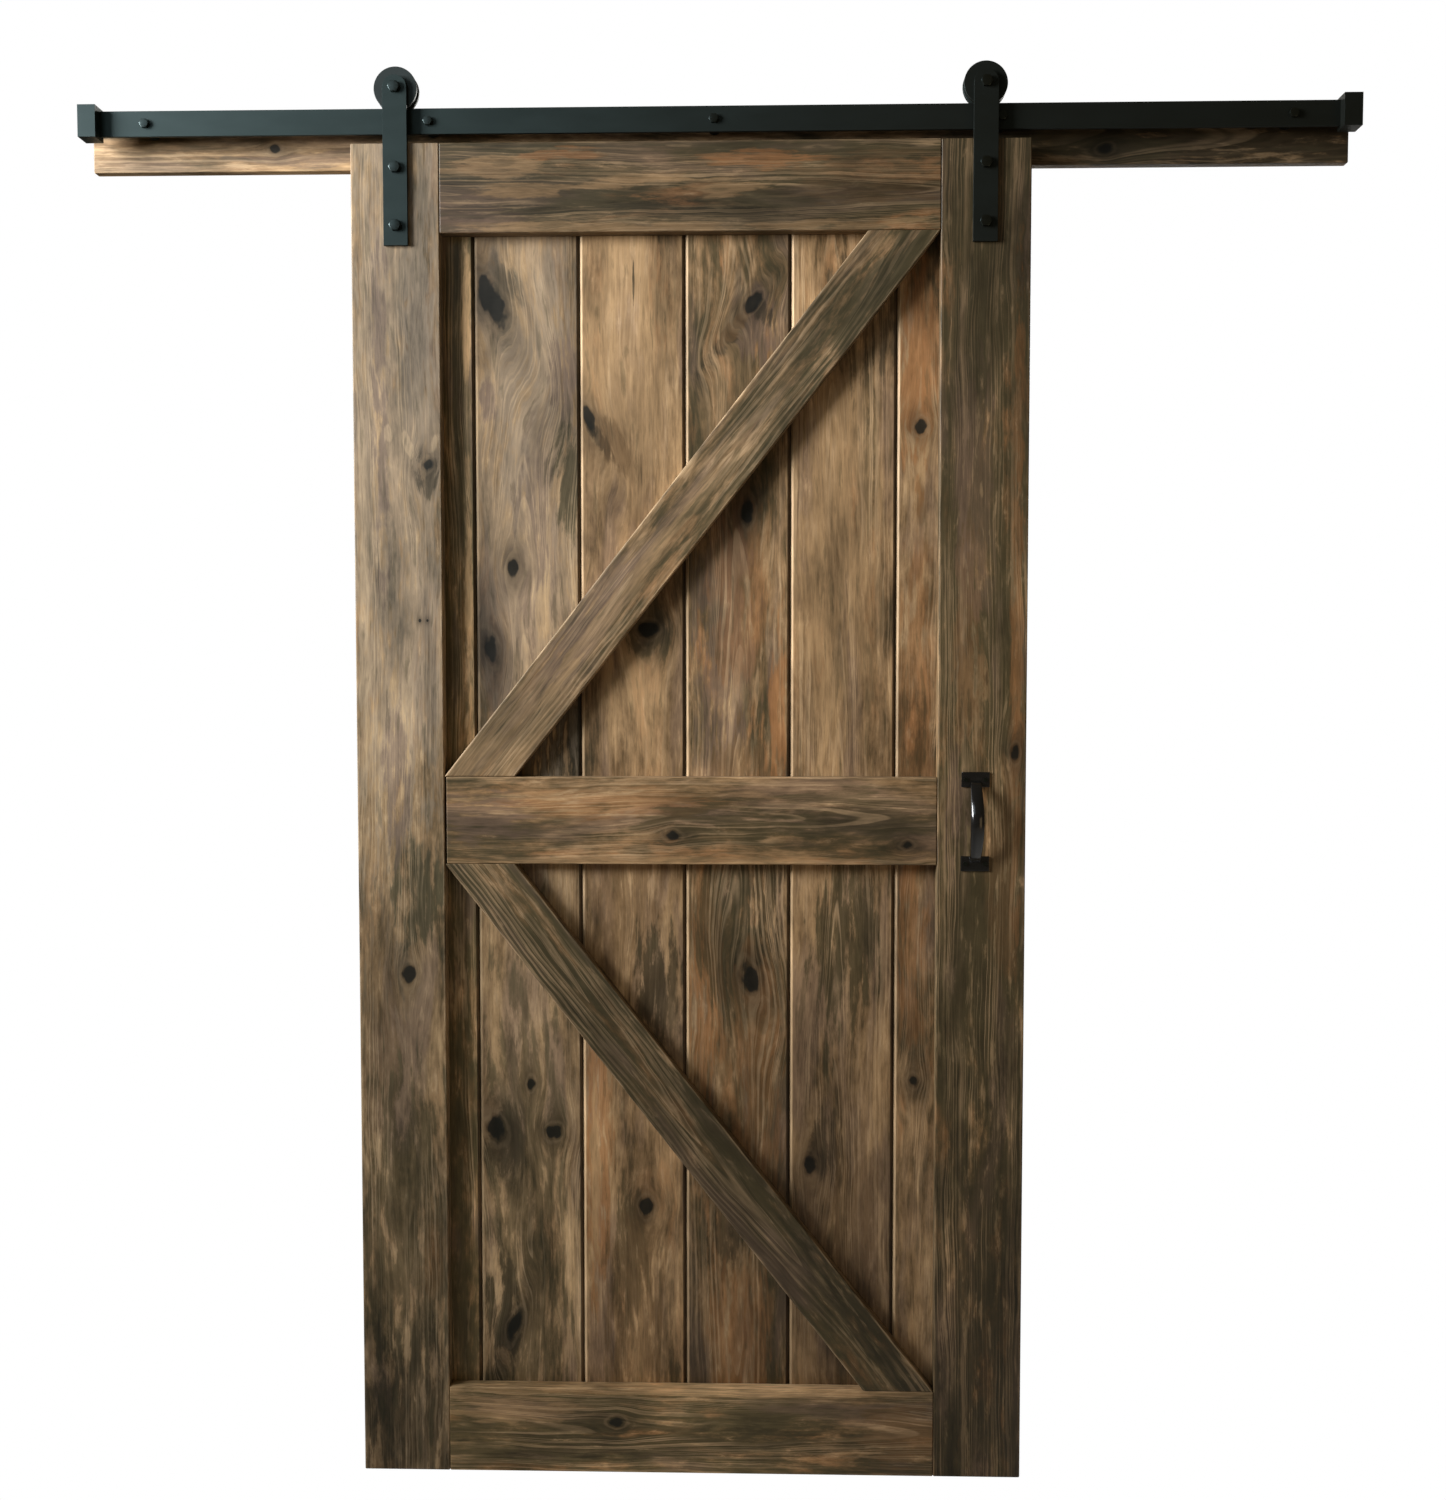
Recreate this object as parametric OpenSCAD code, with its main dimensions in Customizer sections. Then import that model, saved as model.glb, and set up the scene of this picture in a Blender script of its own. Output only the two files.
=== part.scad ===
// Sliding barn door: one braced plank leaf that rolls along a flat-bar track on a header board.
// Origin: the middle lag bolt's axis at the back of the header board, where the wall begins.
// X runs along the track, the door faces -Y, the wall is on the +Y side, and Z is up.

/* [Leaf] */
// Width of the leaf
door_w = 1067; // [915:1:1100]
// Height of the leaf
door_h = 2134; // [2032:1:2286]
// Width of the stiles and rails
board_w = 140; // [130:1:150]
// Thickness of the stiles, rails and braces
board_t = 25; // [19:1:32]
// Width of the two braces
brace_w = 89; // [64:1:110]
// Open joint between the left stile and the middle rail
rail_joint = 3; // [0.5:0.5:4]
// How far the leaf stands to the left of the track's middle
door_shift = 38; // [0:1:60]

/* [Planks] */
// Distance from one plank joint to the next
plank_pitch = 168; // [140:1:172]
// Thickness of the planks
plank_t = 19; // [16:1:22]
// How far the plank joints lie to the left of the leaf's middle
plank_shift = 8; // [0:1:12]
// Depth of the V at each plank joint
vee = 4.5; // [2:0.5:5]

/* [Track] */
// Length of the track and of the header board
track_len = 2000; // [1900:1:2200]
// Height of the flat bar
track_h = 40; // [38:1:44]
// Thickness of the flat bar
track_t = 6; // [5:0.5:7]
// Distance from one lag bolt to the next
bolt_pitch = 450; // [420:1:460]
// Length of the spacers behind the track
spacer_len = 35; // [33:1:40]

/* [Header board] */
// Height of the header board
header_h = 89; // [80:1:95]
// Thickness of the header board
header_t = 19; // [16:1:25]
// How far the header board reaches below the lag bolts
header_drop = 63; // [50:1:64]

/* [Hangers] */
// Width of each strap
strap_w = 38; // [32:1:44]
// Thickness of each strap
strap_t = 6; // [5:0.5:8]
// How far each strap reaches down the leaf
strap_drop = 160; // [150:1:190]
// Distance from the leaf's edge to the middle of a strap
strap_inset = 72; // [55:1:80]
// Diameter of the wheel's tread
tread_d = 56; // [54:1:60]
// Diameter of the wheel's flanges
flange_d = 68; // [66:1:70]
// Width of the wheel
wheel_w = 22; // [20:0.5:23]

/* [End stops] */
// Length of a stop along the track
stop_w = 28; // [24:1:36]
// Height of a stop
stop_h = 50; // [48:1:56]

/* [Handle] */
// Length over both end plates
handle_len = 158; // [145:1:190]
// How far the grip stands off the leaf
handle_reach = 38; // [34:1:46]
// Width of the grip at its middle
grip_w = 22; // [18:1:26]
// Distance from the leaf's right edge to the middle of the handle
handle_inset = 80; // [70:1:90]

/* [Hidden] */
$fn = 64;
// for the handle's long arcs
fine_fn = 256;
// how far each cut runs past the face that it opens
over = 1;

// fits, each used by every pair of that kind
bolt_clear = 0.1;
seat_clear = 0.02;
tongue_clear = 0.2;
roll_clear = 0.1;
ball_clear = 0.07;
top_clear = 16;
face_clear = 9;

// depths, counted out from the wall
header_front = -header_t;
track_back = header_front - spacer_len;
track_front = track_back - track_t;
wheel_y = track_back - track_t / 2;
leaf_front = track_front - face_clear;
plank_front = leaf_front + board_t;
leaf_back = plank_front + plank_t;
strap_front = leaf_front - strap_t;

// heights, counted from the lag bolts
leaf_top = -track_h / 2 - top_clear;
leaf_bottom = leaf_top - door_h;
axle_z = track_h / 2 + tread_d / 2 + roll_clear;
middle_z = (leaf_top + leaf_bottom) / 2;

// the leaf's layout
side = door_w / 2;
inner = side - board_w;
plank_count = 6;
plank_edges = concat([-side],
  [for (k = [1:plank_count - 1]) (k - plank_count / 2) * plank_pitch - plank_shift], [side]);
tongue_w = 7;
tongue_t = 6;
hanger_x = side - strap_inset;

// lag bolts
lag_r = 4;
lag_thread_r = 3.5;
lag_head_af = 13;
lag_head_h = 5.5;
lag_thread_len = 38;
lag_tip_len = 7;
lag_tip_r = 0.5;
spacer_r = 12;
bolt_count = 5;

// hanger and axle bolts, all of one thread size
m10_r = 5;
m10_af = 16;
m10_head_h = 6.4;
m10_nut_h = 8;
m10_washer_r = 10;
m10_washer_t = 2;
m10_end = 2;
hanger_bolt_drops = [39.5, 129.5];

// ball bearing in each wheel
bearing_w = 9;
bearing_r = 15;
race_in = 8.2;
race_out = 11.8;
ball_ring_r = 10;
ball_r = 2.38;
ball_count = 8;
cage_t = 2;
cage_w = 5.6;
seal_t = 0.7;
seal_in = 0.4;
seal_gap = 0.2;
bush_r = 7;
back_bush_len = 1.5;
lip_r = 12.5;
tread_half = 3.8;
flange_slope = 1.4;

// end stops
stop_proud = 18;
stop_behind = 8;
stop_bolt_r = 4;
stop_bolt_af = 13;
stop_bolt_h = 5.3;

// handle
plate_w = 45;
plate_h = 24;
plate_t = 3;
neck_w = 15;
neck_t = 11;
grip_t = 14;
plate_drop = (handle_len - plate_h) / 2;
screw_span = 31;
handle_screw_r = 1.9;
handle_screw_len = 22;
pan_r = 3.6;
pan_h = 1.8;
handle_x = side - handle_inset;

// screws that hold the frame boards to the planks, driven from the back
screw_r = 2;
screw_head_r = 4;
screw_head_h = 2.4;
screw_len = 38;
screw_tip = 3;
screw_tip_r = 0.3;
screw_stagger = 35;
rail_screw_margin = 18;
stile_screws = 8;

function board_z(name) =
  name == "top" ? leaf_top - board_w / 2 :
  name == "middle" ? middle_z :
  leaf_bottom + board_w / 2;

// clear height and width that each brace crosses
brace_rise = (door_h - 3 * board_w) / 2;
brace_run = 2 * inner;
// length of a brace's level end, so that its sides lie brace_w apart
brace_end = let (w2 = brace_w * brace_w, rise2 = brace_rise * brace_rise, run2 = brace_run * brace_run)
  (brace_w * sqrt(w2 * run2 + (rise2 - w2) * (rise2 + run2)) - w2 * brace_run) / (rise2 - w2);

// middle of the part of a plank that shows between the stiles
function plank_middle(k) = (max(plank_edges[k], -inner) + min(plank_edges[k + 1], inner)) / 2;

// a rail's screw sits at the middle of its plank, but stays this side of the rail's end
function rail_screw_x(k) =
  max(rail_screw_margin - inner, min(inner - rail_screw_margin, plank_middle(k)));

// places of the frame screws, as [x, z] from the leaf's middle line
function stile_points(sx) = [for (k = [0:stile_screws - 1])
  [sx * (inner + board_w / 2) + (k % 2 == 0 ? -screw_stagger : screw_stagger),
   leaf_top - board_w / 2 - (door_h - board_w) * k / (stile_screws - 1)]];
function rail_points(name) = [for (k = [0:plank_count - 1])
  [rail_screw_x(k), board_z(name) + (k % 2 == 0 ? -screw_stagger : screw_stagger)]];
function brace_points(up) = [for (k = [1:plank_count - 2])
  let (x = plank_middle(k), climb = board_w / 2 + (0.5 + x / (brace_run - brace_end)) * brace_rise)
  [x, up ? middle_z + climb : middle_z - climb]];
frame_points = concat(
  stile_points(-1), stile_points(1),
  rail_points("top"), rail_points("middle"), rail_points("bottom"),
  brace_points(true), brace_points(false));

stain = "#5b4430";
stain_light = "#7a5b3c";
iron = "#1d1f21";
zinc = "#a9adb0";

// ---- helpers ----

// A child drawn along +Z now runs from depth y towards the viewer
module out_from(y) {
  translate([0, y, 0]) rotate([90, 0, 0]) children();
}

// Round bar along Y between two depths
module rod(r, back, front) {
  out_from(back) cylinder(r = r, h = back - front);
}

module hex(af, h) {
  cylinder(r = af / sqrt(3), h = h, $fn = 6);
}

// Ring turned about the Y axis, with its section drawn as [radius, depth towards the viewer]
module turned(y) {
  out_from(y) rotate_extrude() children();
}

// Moves a child from the leaf's middle line to its place along the track
module on_leaf() {
  translate([-door_shift, 0, 0]) children();
}

module at_hanger(sx) {
  on_leaf() translate([sx * hanger_x, 0, 0]) children();
}

module at_axle(sx) {
  at_hanger(sx) translate([0, 0, axle_z]) children();
}

module at_hanger_bolts() {
  for (drop = hanger_bolt_drops) translate([0, 0, leaf_top - drop]) children();
}

module at_lag(k) {
  translate([(k - (bolt_count + 1) / 2) * bolt_pitch, 0, 0]) children();
}

// ---- wall side ----

module header_board() {
  color(stain) difference() {
    translate([-track_len / 2, header_front, -header_drop]) cube([track_len, header_t, header_h]);
    for (k = [1:bolt_count]) at_lag(k) rod(lag_r + bolt_clear, over, header_front - over);
  }
}

module track_rail() {
  color(iron) difference() {
    translate([-track_len / 2, track_front, -track_h / 2]) cube([track_len, track_t, track_h]);
    for (k = [1:bolt_count]) at_lag(k) rod(lag_r + bolt_clear, track_back + over, track_front - over);
  }
}

module track_spacer(k) {
  color(iron) at_lag(k) difference() {
    rod(spacer_r, header_front, track_back);
    rod(lag_r + bolt_clear, header_front + over, track_back - over);
  }
}

// Hex lag bolt: head on the track, plain shank to the wall, then a point and the thread,
// drawn at its mean radius, in the stud
module lag_bolt(k) {
  color(iron) at_lag(k) {
    out_from(track_front) hex(lag_head_af, lag_head_h);
    rod(lag_r, 0, track_front);
    rod(lag_thread_r, lag_thread_len, 0);
    out_from(lag_thread_len + lag_tip_len)
      cylinder(r1 = lag_tip_r, r2 = lag_thread_r, h = lag_tip_len);
  }
}

// Steel block slid over the end of the bar, seated on the bar's lower edge
module end_stop(sx) {
  front = track_front - stop_proud;
  slot_t = track_t + 2 * bolt_clear;
  x0 = sx * (track_len - stop_w) / 2;
  color(iron) difference() {
    translate([x0 - stop_w / 2, front, -stop_h / 2])
      cube([stop_w, stop_proud + track_t + stop_behind, stop_h]);
    translate([x0 - stop_w / 2 - over, track_front - bolt_clear, -track_h / 2])
      cube([stop_w + 2 * over, slot_t, track_h + tongue_clear]);
    translate([x0, wheel_y, track_h / 2])
      cylinder(r = stop_bolt_r + bolt_clear, h = stop_h);
  }
}

// Clamping bolt, tightened down on the bar's upper edge
module stop_bolt(sx) {
  color(iron) translate([sx * (track_len - stop_w) / 2, wheel_y, 0]) {
    translate([0, 0, track_h / 2]) cylinder(r = stop_bolt_r, h = (stop_h - track_h) / 2);
    translate([0, 0, stop_h / 2]) hex(stop_bolt_af, stop_bolt_h);
  }
}

// ---- leaf ----

module frame_screw() {
  rod(screw_r, leaf_back, leaf_back - screw_len + screw_tip);
  out_from(leaf_back - screw_len + screw_tip) cylinder(r1 = screw_r, r2 = screw_tip_r, h = screw_tip);
  out_from(leaf_back) cylinder(r1 = screw_head_r, r2 = screw_r, h = screw_head_h);
}

module frame_screws() {
  color(zinc) on_leaf() for (p = frame_points) translate([p[0], 0, p[1]]) frame_screw();
}

// Pilot hole and countersink for one frame screw
module screw_hole() {
  rod(screw_r + bolt_clear, leaf_back + over, leaf_back - screw_len - bolt_clear);
  out_from(leaf_back)
    cylinder(r1 = screw_head_r + bolt_clear, r2 = screw_r + bolt_clear, h = screw_head_h + bolt_clear);
}

// Every hole of the leaf whose axis lies inside this box of the leaf
module leaf_holes(x0, x1, z0, z1) {
  for (p = frame_points)
    if (p[0] > x0 - screw_head_r && p[0] < x1 + screw_head_r && p[1] > z0 && p[1] < z1)
      translate([p[0], 0, p[1]]) screw_hole();
  for (sx = [-1, 1])
    if (sx * hanger_x > x0 && sx * hanger_x < x1)
      translate([sx * hanger_x, 0, 0]) at_hanger_bolts()
        rod(m10_r + bolt_clear, leaf_back + over, leaf_front - over);
}

// One board of the frame, between two sides and two heights of the leaf
module board(x0, x1, z0, z1, points) {
  color(stain) on_leaf() difference() {
    translate([x0, leaf_front, z0]) cube([x1 - x0, board_t, z1 - z0]);
    for (p = points) translate([p[0], 0, p[1]]) screw_hole();
    children();
  }
}

module stile(sx) {
  x0 = sx < 0 ? -side : inner;
  board(x0, x0 + board_w, leaf_bottom, leaf_top, stile_points(sx)) {
    union() {
      translate([sx * hanger_x, 0, 0]) at_hanger_bolts()
        rod(m10_r + bolt_clear, leaf_back, leaf_front - over);
      if (sx > 0) at_handle_screws()
        rod(handle_screw_r + bolt_clear, leaf_front + handle_screw_len, leaf_front - over);
    }
  }
}

module rail(name) {
  joint = name == "middle" ? rail_joint : 0;
  z = board_z(name);
  board(-inner + joint, inner, z - board_w / 2, z + board_w / 2, rail_points(name));
}

// Diagonal with level ends; its foot is at the left, on the middle rail
module brace(up) {
  z = middle_z + (up ? board_w / 2 : -board_w / 2);
  rise = up ? brace_rise : -brace_rise;
  color(stain) on_leaf() difference() {
    out_from(plank_front) linear_extrude(board_t) polygon([
      [-inner, z], [-inner + brace_end, z], [inner, z + rise], [inner - brace_end, z + rise]]);
    for (p = brace_points(up)) translate([p[0], 0, p[1]]) screw_hole();
  }
}

// Tongue-and-groove plank: tongue on the right, groove on the left, a V at each joint
module plank(k) {
  x0 = plank_edges[k - 1];
  x1 = plank_edges[k];
  mid = plank_t / 2;
  first = k == 1;
  last = k == plank_count;
  color(last ? stain_light : stain) on_leaf() difference() {
    union() {
      translate([x0, plank_front, leaf_bottom]) cube([x1 - x0, plank_t, door_h]);
      if (!last) translate([x1 - over, plank_front + mid - tongue_t / 2, leaf_bottom])
        cube([over + tongue_w, tongue_t, door_h]);
    }
    if (!first) {
      translate([x0 - over, plank_front + mid - tongue_t / 2 - tongue_clear, leaf_bottom - over])
        cube([over + tongue_w + tongue_clear, tongue_t + 2 * tongue_clear, door_h + 2 * over]);
      vee_cut(x0);
    }
    if (!last) vee_cut(x1);
    leaf_holes(x0, x1, leaf_bottom, leaf_top);
  }
}

module vee_cut(x) {
  translate([x, plank_front, leaf_bottom - over]) linear_extrude(door_h + 2 * over)
    rotate(45) square(vee * sqrt(2), center = true);
}

// ---- hangers ----

module hanger(sx) {
  color(iron) at_hanger(sx) out_from(leaf_front) linear_extrude(strap_t) difference() {
    union() {
      translate([-strap_w / 2, leaf_top - strap_drop])
        square([strap_w, axle_z - leaf_top + strap_drop]);
      translate([0, axle_z]) circle(strap_w / 2);
    }
    translate([0, axle_z]) circle(m10_r + bolt_clear);
    for (drop = hanger_bolt_drops) translate([0, leaf_top - drop]) circle(m10_r + bolt_clear);
  }
}

// Hex bolt with its head on the strap and its end at a given depth
module m10_bolt(end_y) {
  out_from(strap_front) hex(m10_af, m10_head_h);
  rod(m10_r, end_y, strap_front);
}

module m10_nut(back) {
  out_from(back) difference() {
    hex(m10_af, m10_nut_h);
    translate([0, 0, -over]) cylinder(r = m10_r + bolt_clear, h = m10_nut_h + 2 * over);
  }
}

module hanger_bolts(sx) {
  end_y = leaf_back + m10_washer_t + m10_nut_h + m10_end;
  color(iron) at_hanger(sx) at_hanger_bolts() m10_bolt(end_y);
}

module hanger_washers() {
  color(zinc) for (sx = [-1, 1]) at_hanger(sx) at_hanger_bolts() difference() {
    rod(m10_washer_r, leaf_back + m10_washer_t, leaf_back);
    rod(m10_r + bolt_clear, leaf_back + m10_washer_t + over, leaf_back - over);
  }
}

module hanger_nuts() {
  color(zinc) for (sx = [-1, 1]) at_hanger(sx) at_hanger_bolts()
    m10_nut(leaf_back + m10_washer_t + m10_nut_h);
}

module axle_bolt(sx) {
  end_y = wheel_y + bearing_w / 2 + back_bush_len + m10_nut_h + m10_end;
  color(iron) at_axle(sx) m10_bolt(end_y);
}

// Two plain bushes that hold the bearing's inner ring clear of the strap and of the nut
module axle_bushes(sx) {
  color(zinc) at_axle(sx) difference() {
    union() {
      rod(bush_r, wheel_y - bearing_w / 2, leaf_front);
      rod(bush_r, wheel_y + bearing_w / 2 + back_bush_len, wheel_y + bearing_w / 2);
    }
    rod(m10_r + bolt_clear, 0, leaf_front - over);
  }
}

module axle_nut(sx) {
  color(zinc) at_axle(sx) m10_nut(wheel_y + bearing_w / 2 + back_bush_len + m10_nut_h);
}

// ---- wheels and their bearings ----

// Grooved roller that straddles the bar, with a bearing seat open to the front
module wheel(sx) {
  half = wheel_w / 2;
  seat = bearing_w / 2;
  tread = tread_d / 2;
  flange = flange_d / 2;
  color(iron) at_axle(sx) turned(wheel_y) polygon([
    [lip_r, -half], [flange, -half], [flange, -tread_half - flange_slope],
    [tread, -tread_half], [tread, tread_half], [flange, tread_half + flange_slope],
    [flange, half], [bearing_r, half], [bearing_r, -seat], [lip_r, -seat]]);
}

module bearing_inner(sx) {
  color(zinc) at_axle(sx) turned(wheel_y) difference() {
    translate([m10_r + bolt_clear, -bearing_w / 2]) square([race_in - m10_r - bolt_clear, bearing_w]);
    translate([ball_ring_r, 0]) circle(ball_r + ball_clear);
  }
}

module bearing_outer(sx) {
  color(zinc) at_axle(sx) turned(wheel_y) difference() {
    translate([race_out, -bearing_w / 2]) square([bearing_r - seat_clear - race_out, bearing_w]);
    translate([ball_ring_r, 0]) circle(ball_r + ball_clear);
  }
}

module bearing_seals(sx) {
  color(iron) at_axle(sx) for (s = [-1, 1]) turned(wheel_y)
    translate([race_in + seal_gap, s > 0 ? bearing_w / 2 - seal_in - seal_t : seal_in - bearing_w / 2])
      square([race_out - race_in - seal_gap, seal_t]);
}

// Places round the ring of balls, with the child's +X pointing away from the axle
module at_balls() {
  for (k = [0:ball_count - 1]) translate([0, wheel_y, 0]) rotate([0, 360 * k / ball_count, 0])
    translate([ball_ring_r, 0, 0]) children();
}

module bearing_balls(sx) {
  color(zinc) at_axle(sx) at_balls() sphere(ball_r);
}

module bearing_cage(sx) {
  color("#c8a24a") at_axle(sx) difference() {
    turned(wheel_y) translate([ball_ring_r - cage_t / 2, -cage_w / 2]) square([cage_t, cage_w]);
    at_balls() rotate([0, 90, 0])
      cylinder(r = ball_r + ball_clear, h = 2 * cage_t, center = true);
  }
}

// ---- handle ----

// Radius of the arc that rises this far over half of its chord
function arc_r(half_chord, rise) = (half_chord * half_chord + rise * rise) / (2 * rise);

// Lens between two equal arcs, as wide as given at its middle and narrower by two rises at the plates
module barrel() {
  r = arc_r(plate_drop, (grip_w - neck_w) / 2);
  intersection() {
    translate([r - grip_w / 2, 0]) circle(r, $fn = fine_fn);
    translate([grip_w / 2 - r, 0]) circle(r, $fn = fine_fn);
  }
}

// Bow seen from the side, with its depth along -X: a thick middle that thins towards the plates
module bow() {
  outer_r = arc_r(plate_drop + neck_t / 2, handle_reach);
  inner_r = arc_r(plate_drop - neck_t / 2, handle_reach - grip_t);
  difference() {
    translate([outer_r - handle_reach, 0]) circle(outer_r, $fn = fine_fn);
    translate([inner_r - handle_reach + grip_t, 0]) circle(inner_r, $fn = fine_fn);
    translate([-plate_t / 2, -outer_r]) square(2 * outer_r);
  }
}

// Bar whose width follows the barrel and whose depth follows the bow
module grip() {
  intersection() {
    rotate([90, 0, 90]) linear_extrude(grip_w + 2 * over, center = true) bow();
    out_from(0) linear_extrude(handle_reach + over) barrel();
  }
}

module at_handle_screws() {
  for (sx = [-1, 1]) for (sz = [-1, 1])
    translate([handle_x + sx * screw_span / 2, 0, middle_z + sz * plate_drop]) children();
}

module handle() {
  color("#0c0c0d") on_leaf() {
    difference() {
      for (s = [-1, 1])
        translate([handle_x - plate_w / 2, leaf_front - plate_t, middle_z + s * plate_drop - plate_h / 2])
          cube([plate_w, plate_t, plate_h]);
      at_handle_screws()
        rod(handle_screw_r + bolt_clear, leaf_front + over, leaf_front - plate_t - over);
    }
    translate([handle_x, leaf_front, middle_z]) grip();
  }
}

module handle_screws() {
  color(iron) on_leaf() at_handle_screws() {
    rod(handle_screw_r, leaf_front + handle_screw_len - screw_tip, leaf_front - plate_t);
    out_from(leaf_front - plate_t) cylinder(r = pan_r, h = pan_h);
  }
}

// ---- what is drawn ----

header_board();
track_rail();
for (k = [1:bolt_count]) {
  track_spacer(k);
  lag_bolt(k);
}
end_stop(-1);  // end_stop_left
end_stop(1);  // end_stop_right
stop_bolt(-1);  // stop_bolt_left
stop_bolt(1);  // stop_bolt_right

stile(-1);  // stile_left
stile(1);  // stile_right
rail("top");  // rail_top
rail("middle");  // rail_middle
rail("bottom");  // rail_bottom
brace(true);  // brace_upper
brace(false);  // brace_lower
for (k = [1:plank_count]) {
  plank(k);
}
frame_screws();

hanger(-1);  // hanger_left
hanger(1);  // hanger_right
hanger_bolts(-1);  // hanger_bolts_left
hanger_bolts(1);  // hanger_bolts_right
hanger_washers();
hanger_nuts();
axle_bolt(-1);  // axle_bolt_left
axle_bolt(1);  // axle_bolt_right
axle_bushes(-1);  // axle_bushes_left
axle_bushes(1);  // axle_bushes_right
axle_nut(-1);  // axle_nut_left
axle_nut(1);  // axle_nut_right

bearing_inner(-1);  // bearing_inner_left
bearing_inner(1);  // bearing_inner_right
wheel(-1);  // wheel_left
wheel(1);  // wheel_right
bearing_outer(-1);  // bearing_outer_left
bearing_outer(1);  // bearing_outer_right
bearing_seals(-1);  // bearing_seals_left
bearing_seals(1);  // bearing_seals_right
bearing_balls(-1);  // bearing_balls_left
bearing_balls(1);  // bearing_balls_right
bearing_cage(-1);  // bearing_cage_left
bearing_cage(1);  // bearing_cage_right

handle();
handle_screws();
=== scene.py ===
import math

import bmesh
import bpy
from mathutils import Euler, Matrix, Vector


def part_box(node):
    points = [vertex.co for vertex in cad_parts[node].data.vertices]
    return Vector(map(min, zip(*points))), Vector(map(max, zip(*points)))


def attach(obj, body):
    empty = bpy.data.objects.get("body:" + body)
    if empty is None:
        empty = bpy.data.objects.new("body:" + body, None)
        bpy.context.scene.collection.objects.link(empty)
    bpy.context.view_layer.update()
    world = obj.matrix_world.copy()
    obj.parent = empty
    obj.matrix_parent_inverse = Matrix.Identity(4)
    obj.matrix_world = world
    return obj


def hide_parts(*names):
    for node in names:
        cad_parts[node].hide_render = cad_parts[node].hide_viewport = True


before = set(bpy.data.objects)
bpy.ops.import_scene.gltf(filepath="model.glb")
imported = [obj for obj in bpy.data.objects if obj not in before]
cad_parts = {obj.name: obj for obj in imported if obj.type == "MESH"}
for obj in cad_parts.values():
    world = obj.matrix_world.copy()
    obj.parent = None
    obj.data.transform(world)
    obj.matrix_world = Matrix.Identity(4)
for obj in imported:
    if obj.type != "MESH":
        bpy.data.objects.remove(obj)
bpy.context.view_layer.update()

MM = 0.001


# ---------------------------------------------------------------- camera
# A viewer stands two and a half metres off, a little right of the leaf's middle,
# with their eye half way up it, and looks slightly down and to the left.
camera = bpy.data.objects.new("camera", bpy.data.cameras.new("camera"))
bpy.context.scene.collection.objects.link(camera)
camera.location = (0.0814, -2.5607, -0.8658)
camera.rotation_euler = (math.radians(87.155), 0, math.radians(1.527))
camera.data.sensor_fit = "VERTICAL"
camera.data.sensor_height = 36
camera.data.lens = 37.64
bpy.context.scene.camera = camera
bpy.context.scene.view_settings.view_transform = "Standard"


# ---------------------------------------------------------------- floor and light
# A plain pale floor under the hanging leaf, in a white room. Daylight falls in through
# a tall window high on the left, and the pale walls send a little of it back.
class Number:
    """A number that varies over a surface. Arithmetic on it adds Math nodes."""

    def __init__(self, tree, socket):
        self.tree, self.socket = tree, socket

    def sum_of(self, operation, *terms):
        node = self.tree.nodes.new("ShaderNodeMath")
        node.operation = operation
        for entry, term in zip(node.inputs, terms):
            plug(self.tree, entry, term)
        return Number(self.tree, node.outputs[0])

    def __add__(self, other):
        return self.sum_of("ADD", self, other)

    def __sub__(self, other):
        return self.sum_of("SUBTRACT", self, other)

    def __rsub__(self, other):
        return self.sum_of("SUBTRACT", other, self)

    def __mul__(self, other):
        return self.sum_of("MULTIPLY", self, other)

    def __truediv__(self, other):
        return self.sum_of("DIVIDE", self, other)

    def __pow__(self, other):
        return self.sum_of("POWER", self, other)

    def __abs__(self):
        return self.sum_of("ABSOLUTE", self)

    __radd__ = __add__
    __rmul__ = __mul__

    def bell(self):
        """One where this squared distance is nothing, falling smoothly to none."""
        return self.sum_of("EXPONENT", self * -1)

    def ramp(self, low, high):
        """None at low and one at high, with a smooth rise between them."""
        node = self.tree.nodes.new("ShaderNodeMapRange")
        node.interpolation_type = "SMOOTHSTEP"
        for entry, term in zip(node.inputs, (self, low, high, 0, 1)):
            plug(self.tree, entry, term)
        return Number(self.tree, node.outputs[0])


def plug(tree, entry, term):
    if isinstance(term, Number):
        tree.links.new(term.socket, entry)
    else:
        entry.default_value = term


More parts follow.
